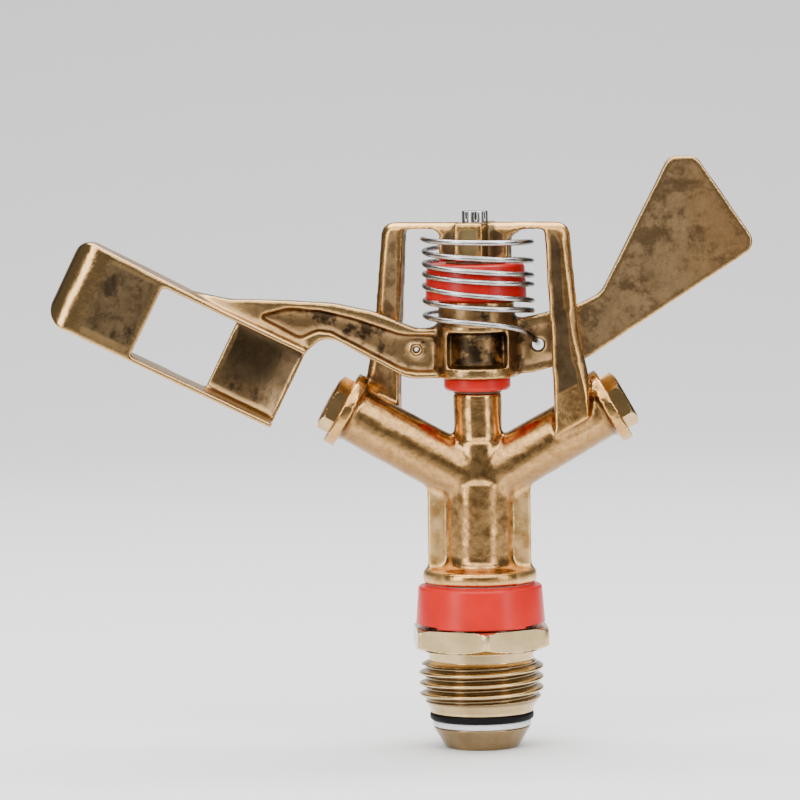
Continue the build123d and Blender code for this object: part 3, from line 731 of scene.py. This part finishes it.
THREAD = thread_tree()
print("thread tree:", len(THREAD.nodes), "nodes")

# %% Nipple
THREAD_R = 20.955 / 2
THREAD_PITCH = 1.814
THREAD_DEPTH = 1.162
THREAD_PHASE = 0.318
THREAD_LOW = -0.3
THREAD_HIGH = 6.75
THREAD_END_R = 9.28
NECK_R = 8.85
HEX_AF = 22.0
HEX_YAW = 33.0
HEX_LOW = 8.9
HEX_BEVEL = 2.0
NIPPLE_END_R = 8.65
NIPPLE_SEGMENTS = 288
THREAD_ROWS = 150

nipple_low, nipple_high = size("inlet_nipple")
TUBE_R = 5.8
nipple_bore = TUBE_R + 0.05
hex_corner = HEX_AF / math.sqrt(3)


def hexagon_radius(angle, across_flats, yaw):
    """Distance from the axis to a hexagon's side, in the direction of an angle."""
    off = (angle - math.radians(yaw)) % math.radians(60) - math.radians(30)
    return across_flats / 2 / math.cos(off)


def nipple_rule(angle, radius, height):
    if radius > THREAD_END_R + 0.1 and height > HEX_LOW - 0.01:
        radius = min(radius, hexagon_radius(angle, HEX_AF, HEX_YAW))
    return radius, height


def stepped(start, end, steps):
    """Points along a straight flank, with no corner rounding."""
    return [
        (start[0] + (end[0] - start[0]) * k / steps, start[1] + (end[1] - start[1]) * k / steps, 0)
        for k in range(1, steps + 1)
    ]


def nipple():
    """Neck, hexagon, bore and lower end, then the threaded wall merged on."""
    hex_top = nipple_high.z
    outline = [
        (THREAD_END_R, THREAD_HIGH, 0),
        (NECK_R, THREAD_HIGH + 0.35, 0.15),
        (NECK_R, HEX_LOW, 0.25),
        (hex_corner - HEX_BEVEL, HEX_LOW, 0),
        *stepped((hex_corner - HEX_BEVEL, HEX_LOW), (hex_corner, HEX_LOW + 1.0), 8),
        *stepped((hex_corner, HEX_LOW + 1.0), (hex_corner, hex_top - 0.35), 2),
        *stepped((hex_corner, hex_top - 0.35), (hex_corner - 1.0, hex_top), 5),
        *stepped((hex_corner - 1.0, hex_top), (hex_corner - HEX_BEVEL, hex_top), 2),
        (nipple_bore, hex_top, 0.3),
        (nipple_bore, nipple_low.z, 0.3),
        (NIPPLE_END_R, nipple_low.z, 0.15),
        (NIPPLE_END_R, nipple_low.z + 0.45, 0.1),
        (THREAD_END_R, THREAD_LOW, 0),
    ]
    body = lathe(rounded(outline), NIPPLE_SEGMENTS, math.radians(HEX_YAW), nipple_rule, closed=False)
    wall = run_tree(THREAD, {
        "Major Radius": THREAD_R * MM, "Depth": THREAD_DEPTH * MM, "Pitch": THREAD_PITCH * MM,
        "Low": THREAD_LOW * MM, "High": THREAD_HIGH * MM, "Phase": THREAD_PHASE,
        "Start": HEX_YAW / 360, "End Radius": THREAD_END_R * MM, "Low Lead": 0.7, "High Lead": 1.8,
        "Segments": NIPPLE_SEGMENTS, "Rows": THREAD_ROWS, "Material": NIPPLE_BRASS,
    })
    body.from_mesh(wall)
    bpy.data.meshes.remove(wall)
    bmesh.ops.remove_doubles(body, verts=body.verts, dist=2e-6)
    bmesh.ops.recalc_face_normals(body, faces=body.faces)
    loose = sum(e.is_boundary for e in body.edges)
    print("nipple: open edges", loose)
    return piece("nipple", body, NIPPLE_BRASS, "nipple", ["inlet_nipple"])


nipple()

# %% [markdown]
# ## Tube, washers, cover and bushes
#
# These are plain turned or moulded rings. Their sizes come from the frame, and only the corner
# radii are chosen here. The cover's lower rim steps up at the two sides, where the mould let the
# spring be hooked in.

# %% Bearing tube and its washers
TUBE_BORE_R, TUBE_END_R, SPIGOT_R = 3.9, 6.15, 5.0
TUBE_FOOT_Z, FLANGE_Z = -4.1, 20.0
PIN_BORE_R = 2.25


def ring_outline(low, high, bore, corner):
    """A washer's outline from its frame box and bore."""
    return rounded([
        (high.x, low.z, corner), (high.x, high.z, corner),
        (bore, high.z, corner), (bore, low.z, corner),
    ])


def washers():
    for node, material, body, slot, bore, corner in (
        ("ptfe_thrust_washer", WHITE, "cover", "white_ptfe", nipple_bore, 0.2),
        ("rubber_seal_washer", RUBBER, "cover", "black_rubber", nipple_bore, 0.45),
        ("upper_thrust_washer", WHITE, "cover", "white_ptfe", nipple_bore, 0.08),
        ("spring_seat_washer", PIN_STEEL, "nipple", "steel", nipple_bore + 0.25, 0.1),
        ("spring_top_washer", PIN_STEEL, "cover", "steel", nipple_bore + 0.25, 0.1),
        ("stem_wear_washer", BROWN, "head", "white_ptfe", PIN_BORE_R, 0.08),
        ("pin_thrust_washer", BROWN, "head", "white_ptfe", PIN_BORE_R, 0.08),
    ):
        shape = lathe(ring_outline(*size(node), bore, corner), 128)
        piece(node.replace("washer", "ring"), shape, material, body, [node])


def bearing_tube():
    low, high = size("bearing_tube")
    bore = TUBE_BORE_R
    outline = rounded([
        (bore, low.z, 0.5), (TUBE_END_R, low.z, 0.5), (high.x, TUBE_FOOT_Z, 0.25),
        (TUBE_R, TUBE_FOOT_Z, 0.1), (TUBE_R, FLANGE_Z, 0.1), (SPIGOT_R, FLANGE_Z, 0),
        (SPIGOT_R, high.z, 0.2), (bore, high.z, 0.2),
    ])
    piece("tube", lathe(outline), TUBE_BRASS, "head", ["bearing_tube"])


washers()
bearing_tube()


# %% Spring cover and arm bushes
COVER_NOTCH_X = 7.4
COVER_NOTCH = 0.45
COVER_WALL, COVER_LID = 1.6, 1.3
LIP_BORE, LIP_R, LIP_HEIGHT = 8.95, 9.35, 0.35
HUB_LOW, HUB_BOSS_TOP, SLEEVE_R = 54.6, 67.7, 3.1


def cover():
    low, high = size("spring_cover")
    lid = high.z - COVER_LID
    inside = high.y - COVER_WALL

    def notch(angle, radius, height):
        if height < low.z + 0.4 and abs(radius * math.cos(angle)) > COVER_NOTCH_X:
            height = height * 0.3 + (low.z + COVER_NOTCH) * 0.7 + (height - low.z) * 0.7
        return radius, height

    shelf = high.z - LIP_HEIGHT
    outline = rounded([
        (nipple_bore, lid, 0.1), (inside, lid, 0.4), (inside, low.z, 0.3),
        (high.y, low.z, 0.3), (high.y - 0.5, shelf, 1.0), (LIP_R, shelf, 0.1), (LIP_R, high.z, 0.12),
        (LIP_BORE, high.z, 0.1), (LIP_BORE, shelf, 0.1), (nipple_bore, shelf, 0.2),
    ], steps=7)
    piece("cover", lathe(outline, 288, rule=notch), RED, "cover", ["spring_cover"])


def bushes():
    low, high = size("lower_arm_bush")
    bore, split = PIN_BORE_R, high.z
    outline = rounded([
        (bore, low.z, 0.2), (high.x, low.z, 0.75), (high.x, HUB_LOW, 0.35),
        (SLEEVE_R, HUB_LOW, 0), (SLEEVE_R, high.z, 0.1), (bore, high.z, 0.1),
    ], steps=7)
    piece("bush_low", lathe(outline), RED_BUSH, "arm", ["lower_arm_bush"])
    low, high = size("upper_arm_bush")
    outline = rounded([
        (bore, split, 0.1), (SLEEVE_R, split, 0.1), (SLEEVE_R, HUB_BOSS_TOP, 0),
        (high.x, HUB_BOSS_TOP, 0.3), (high.x - 0.1, HUB_BOSS_TOP + 3.0, 0),
        (high.x - 0.35, high.z, 0.8), (bore, high.z, 0.2),
    ], steps=7)
    piece("bush_high", lathe(outline), RED_BUSH, "arm", ["upper_arm_bush"])


cover()
bushes()

# %% [markdown]
# ## Nozzles and pin
#
# A nozzle is a hexagon head with its corners turned down and a tapered way to the orifice. It is
# lathed upright, then laid along its barrel. The pin is ground steel, and its upper end is fluted
# to grip the bridge.

# %% Nozzles and pin
COLLAR_END = 26.3
NOZZLE_END = 28.7
NOZZLE_AF = 8.45
NOZZLE_SHANK, SHANK_R, SHANK_BORE_R = 7.0, 3.4, 2.9
FLUTES, FLUTE_START, FLUTE_DEPTH = 8, math.radians(3.0), 0.26
FLUTE_LOW = 80.9


def along_barrel(side):
    """Turns Z into the direction of a barrel and moves the origin to where the barrels meet."""
    out = Vector((side * math.cos(BARREL_ANGLE), 0.0, math.sin(BARREL_ANGLE)))
    across = Vector((0.0, 1.0, 0.0))
    turn = Matrix((across, out.cross(across), out)).transposed().to_4x4()
    return Matrix.Translation(Vector((0.0, 0.0, BARREL_Z)) * MM) @ turn


def nozzle(name, node, side, orifice):
    def rule(angle, radius, height):
        if height > COLLAR_END - 0.01 and radius > 3.6:
            radius = min(radius, hexagon_radius(angle, NOZZLE_AF, 30))
        return radius, height

    corner = NOZZLE_AF / math.sqrt(3)
    outline = rounded([
        (orifice, NOZZLE_END, 0.0),
        (orifice, COLLAR_END, 0.5),
        (SHANK_BORE_R, COLLAR_END - NOZZLE_SHANK, 0.1),
        (SHANK_R, COLLAR_END - NOZZLE_SHANK, 0.1),
        (SHANK_R, COLLAR_END, 0),
        (corner, COLLAR_END, 0),
        *stepped((corner, COLLAR_END), (corner, NOZZLE_END - 0.55), 2),
        *stepped((corner, NOZZLE_END - 0.55), (corner - 1.1, NOZZLE_END), 6),
        *stepped((corner - 1.1, NOZZLE_END), (orifice + 0.7, NOZZLE_END), 2),
        (orifice + 0.25, NOZZLE_END - 0.25, 0.1),
    ])
    shape = lathe(outline, 192, math.radians(30), rule, along_barrel(side))
    piece(name, shape, NOZZLE_BRASS, "head", [node])


def pin():
    low, high = size("fulcrum_pin")

    def flute(angle, radius, height):
        if height > FLUTE_LOW and radius > 1.6:
            radius -= FLUTE_DEPTH * max(0.0, math.cos((angle - FLUTE_START) * FLUTES)) ** 3
        return radius, height

    outline = rounded([
        (0.001, low.z, 0), (high.x, low.z, 0.2),
        (high.x, FLUTE_LOW - 0.1, 0), (high.x, FLUTE_LOW + 0.1, 0),
        *stepped((high.x, FLUTE_LOW + 0.1), (high.x, high.z - 0.4), 3),
        (high.x, high.z, 0.35), (0.001, high.z, 0),
    ])
    piece("pin", lathe(outline, 180, rule=flute), PIN_STEEL, "head", ["fulcrum_pin"])


nozzle("nozzle_range", "range_nozzle", -1, 1.9)
nozzle("nozzle_spreader", "spreader_nozzle", 1, 1.2)
pin()

# %% [markdown]
# ## Castings
#
# A sand casting has no sharp edge and no dead-flat face. The frame's casting is copied, merged into
# one skin, and rebuilt from cubes a third of a millimetre wide (a voxel remesh), so every union
# becomes one surface. A few passes of smoothing round each edge, and further passes that only
# ever add metal fill each inner corner, as the pattern maker's fillets do. How far each point
# sits from its smoothed neighbourhood says whether it is an edge or a hollow, and a hollow counts
# deeper where it faces down, for painted shade, and as an edge where it faces up, for a painted
# highlight. That is kept as the edge attribute, and how far the face looks down as `under`, for
# the brass finishes to use.


# %% Remesh, smooth and measure
DENT_SIZE = 4.0
WIDE_PASSES = 14


def neighbour_mean(mesh):
    """A function that replaces each point's value by the mean of its neighbours' values."""
    count = len(mesh.vertices)
    ends = np.zeros(len(mesh.edges) * 2, np.int64)
    mesh.edges.foreach_get("vertices", ends)
    a, b = ends.reshape(-1, 2).T
    degree = np.bincount(np.concatenate([a, b]), minlength=count).astype(float)

    def mean(values):
        total = np.zeros_like(values)
        for column in range(values.shape[1]):
            total[:, column] = np.bincount(a, values[b, column], count)
            total[:, column] += np.bincount(b, values[a, column], count)
        return total / degree[:, None]

    return mean


def get_points(mesh, normals=False):
    flat = np.zeros(len(mesh.vertices) * 3)
    if normals:
        mesh.vertex_normals.foreach_get("vector", flat)
    else:
        mesh.vertices.foreach_get("co", flat)
    return flat.reshape(-1, 3)


def casting(name, node, body, material, voxel_mm, passes, fillets, dent_mm):
    """A softened copy of a CAD casting, with the attributes `edge_wear_and_painted_light` and `under` on its points."""
    shape = bmesh.new()
    shape.from_mesh(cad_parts[node].data)
    bmesh.ops.remove_doubles(shape, verts=shape.verts, dist=1e-6)
    rough = bpy.data.meshes.new("rough")
    shape.to_mesh(rough)
    shape.free()
    holder = bpy.data.objects.new("holder", rough)
    bpy.context.scene.collection.objects.link(holder)
    remesh = holder.modifiers.new("remesh", "REMESH")
    remesh.mode = "VOXEL"
    remesh.voxel_size = voxel_mm * MM
    seen = holder.evaluated_get(bpy.context.evaluated_depsgraph_get())
    mesh = bpy.data.meshes.new_from_object(seen)
    bpy.data.objects.remove(holder)
    bpy.data.meshes.remove(rough)

    points = get_points(mesh)
    mean = neighbour_mean(mesh)
    for _ in range(passes):
        points += (mean(points) - points) * 0.6
        points -= (mean(points) - points) * 0.30
    for _ in range(fillets):
        mesh.vertices.foreach_set("co", points.ravel())
        mesh.update()
        normals = get_points(mesh, normals=True)
        lift = ((mean(points) - points) * normals).sum(1).clip(0)
        points += normals * (lift * 0.6)[:, None]
    mesh.vertices.foreach_set("co", points.ravel())
    mesh.update()
    normals = get_points(mesh, normals=True)

    wide = points.copy()
    for _ in range(WIDE_PASSES):
        wide = mean(wide)
    bulge = ((points - wide) * normals).sum(1) / MM
    for _ in range(2):
        bulge = mean(bulge[:, None])[:, 0]
    # painted light: hollows that face down are pushed lower, for painted shade, and hollows that
    # face up above 0.5, for a painted highlight
    shaded = (0.35 - normals[:, 2] * 1.4).clip(-0.9, 1)
    edge_wear_and_painted_light = np.clip(0.5 + np.where(bulge < 0, bulge * shaded, bulge) * 2.2, 0, 1)
    lumps = np.array([noise.noise(Vector(p) * (1 / (DENT_SIZE * MM))) for p in points])
    points += normals * (lumps * dent_mm * MM)[:, None]
    mesh.vertices.foreach_set("co", points.ravel())
    for label, values in (("edge_wear_and_painted_light", edge_wear_and_painted_light), ("under", (-normals[:, 2]).clip(0, 1))):
        kept = mesh.attributes.new(label, "FLOAT", "POINT")
        kept.data.foreach_set("value", values.astype(np.float32))
    made = settle(name, mesh, material, body, [node], sharp=80)
    print(f"{name}: edge from {edge_wear_and_painted_light.min():.2f} to {edge_wear_and_painted_light.max():.2f}")
    return made


casting("casting_head", "head_casting", "head", POLISHED, 0.32, 5, 12, 0.05)
casting("casting_arm", "impact_arm", "arm", AGED, 0.32, 3, 30, 0.05)

# %% [markdown]
# ## Springs
#
# A spring is one wire on one path. The path is a formula: an angle that grows evenly, a height that
# follows it, and at the ends a hook. Geometry Nodes sweeps a round section along the path. The arm
# spring is wound between the bridge and the arm, and the bearing spring squeezes between the
# nipple and the cover.


# %% The wire tree and the springs
def wire_tree():
    """A round wire swept along the edges of a path."""
    inputs = [("Radius", "Float"), ("Sides", "Int"), ("Material", "Material")]
    given, leave = new_tree("round_wire", inputs)
    path = given["Geometry"].node("GeometryNodeMeshToCurve", None, {0: given["Geometry"]})
    values = {"Resolution": given["Sides"], "Radius": given["Radius"]}
    section = path.node("GeometryNodeCurvePrimitiveCircle", None, values)
    values = {"Curve": path, "Profile Curve": section, "Fill Caps": True}
    end_tree(path.node("GeometryNodeCurveToMesh", None, values), leave, given["Material"])
    return leave.id_data


WIRE = wire_tree()


def wire(points, radius_mm, material, sides=14):
    """A plain mesh of wire along points in millimetres."""
    line = bpy.data.meshes.new("line")
    links = [(i, i + 1) for i in range(len(points) - 1)]
    line.from_pydata([Vector(p) * MM for p in points], links, [])
    values = {"Radius": radius_mm * MM, "Sides": sides, "Material": material}
    made = run_tree(WIRE, values, line)
    bpy.data.meshes.remove(line)
    return made


def coil_points(radius, heights, start_angle, centre_x=0.0, per_turn=56):
    """Points of a coil whose height after each half turn is given."""
    points = []
    half_turns = len(heights) - 1
    marks = np.arange(half_turns + 1)
    for i in range(half_turns * per_turn // 2 + 1):
        t = 2 * i / per_turn
        angle = start_angle + math.pi * t
        z = float(np.interp(t, marks, heights))
        points.append((centre_x + radius * math.cos(angle), radius * math.sin(angle), z))
    return points


def eased(points, passes=6):
    """The same points with their kinks worn down."""
    line = np.array(points, float)
    for _ in range(passes):
        line[1:-1] += ((line[:-2] + line[2:]) / 2 - line[1:-1]) * 0.5
    return [tuple(p) for p in line]


ARM_COIL_R = 9.2
ARM_COIL_X = 0.4
ARM_WIRE_R = 0.45
ARM_COIL_HEIGHTS = [
    77.84, 77.11, 75.75, 73.91, 73.78, 71.45, 72.05, 69.9, 70.08, 67.2, 67.6, 65.6, 65.0,
]
BEARING_WIRE_R, BEARING_COIL_R = 0.5, 7.5
FRONT = -math.pi / 2


def arm_spring():
    """The coil, wound by hand and so uneven, and its tail that dips into the wing's hole."""
    path = coil_points(ARM_COIL_R, ARM_COIL_HEIGHTS, -math.pi, ARM_COIL_X)
    tail = []
    for k in range(1, 24):
        t = k / 24
        angle = -math.pi + math.pi * 0.92 * t
        z = ARM_COIL_HEIGHTS[-1] - 1.3 * t - 2.2 * t ** 4
        x, y = ARM_COIL_X + ARM_COIL_R * math.cos(angle), ARM_COIL_R * math.sin(angle)
        tail.append((x, y, z))
    hook = [(10.35, -2.4, 60.4), (10.3, -1.2, 59.9), (10.3, 2.2, 59.9)]
    mesh = wire(eased(path + tail + hook), ARM_WIRE_R, SPRING_STEEL)
    made = settle("spring_arm", mesh, SPRING_STEEL, None, ["arm_spring"])
    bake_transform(made)
    return made


def bearing_spring():
    low, high = size("bearing_spring")
    half_turns = 6
    base = low.z + BEARING_WIRE_R
    rise = (high.z - low.z - 2 * BEARING_WIRE_R) / half_turns
    heights = [base + rise * k for k in range(half_turns + 1)]
    mesh = wire(coil_points(BEARING_COIL_R, heights, FRONT), BEARING_WIRE_R, SPRING_STEEL)
    made = settle("spring_bearing", mesh, SPRING_STEEL, None, ["bearing_spring"])
    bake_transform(made)
    return made


arm_spring()
bearing_spring()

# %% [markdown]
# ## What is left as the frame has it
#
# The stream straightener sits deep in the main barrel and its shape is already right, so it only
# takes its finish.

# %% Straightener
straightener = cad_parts["stream_straightener"]
straightener.data.materials.clear()
straightener.data.materials.append(TURNED)
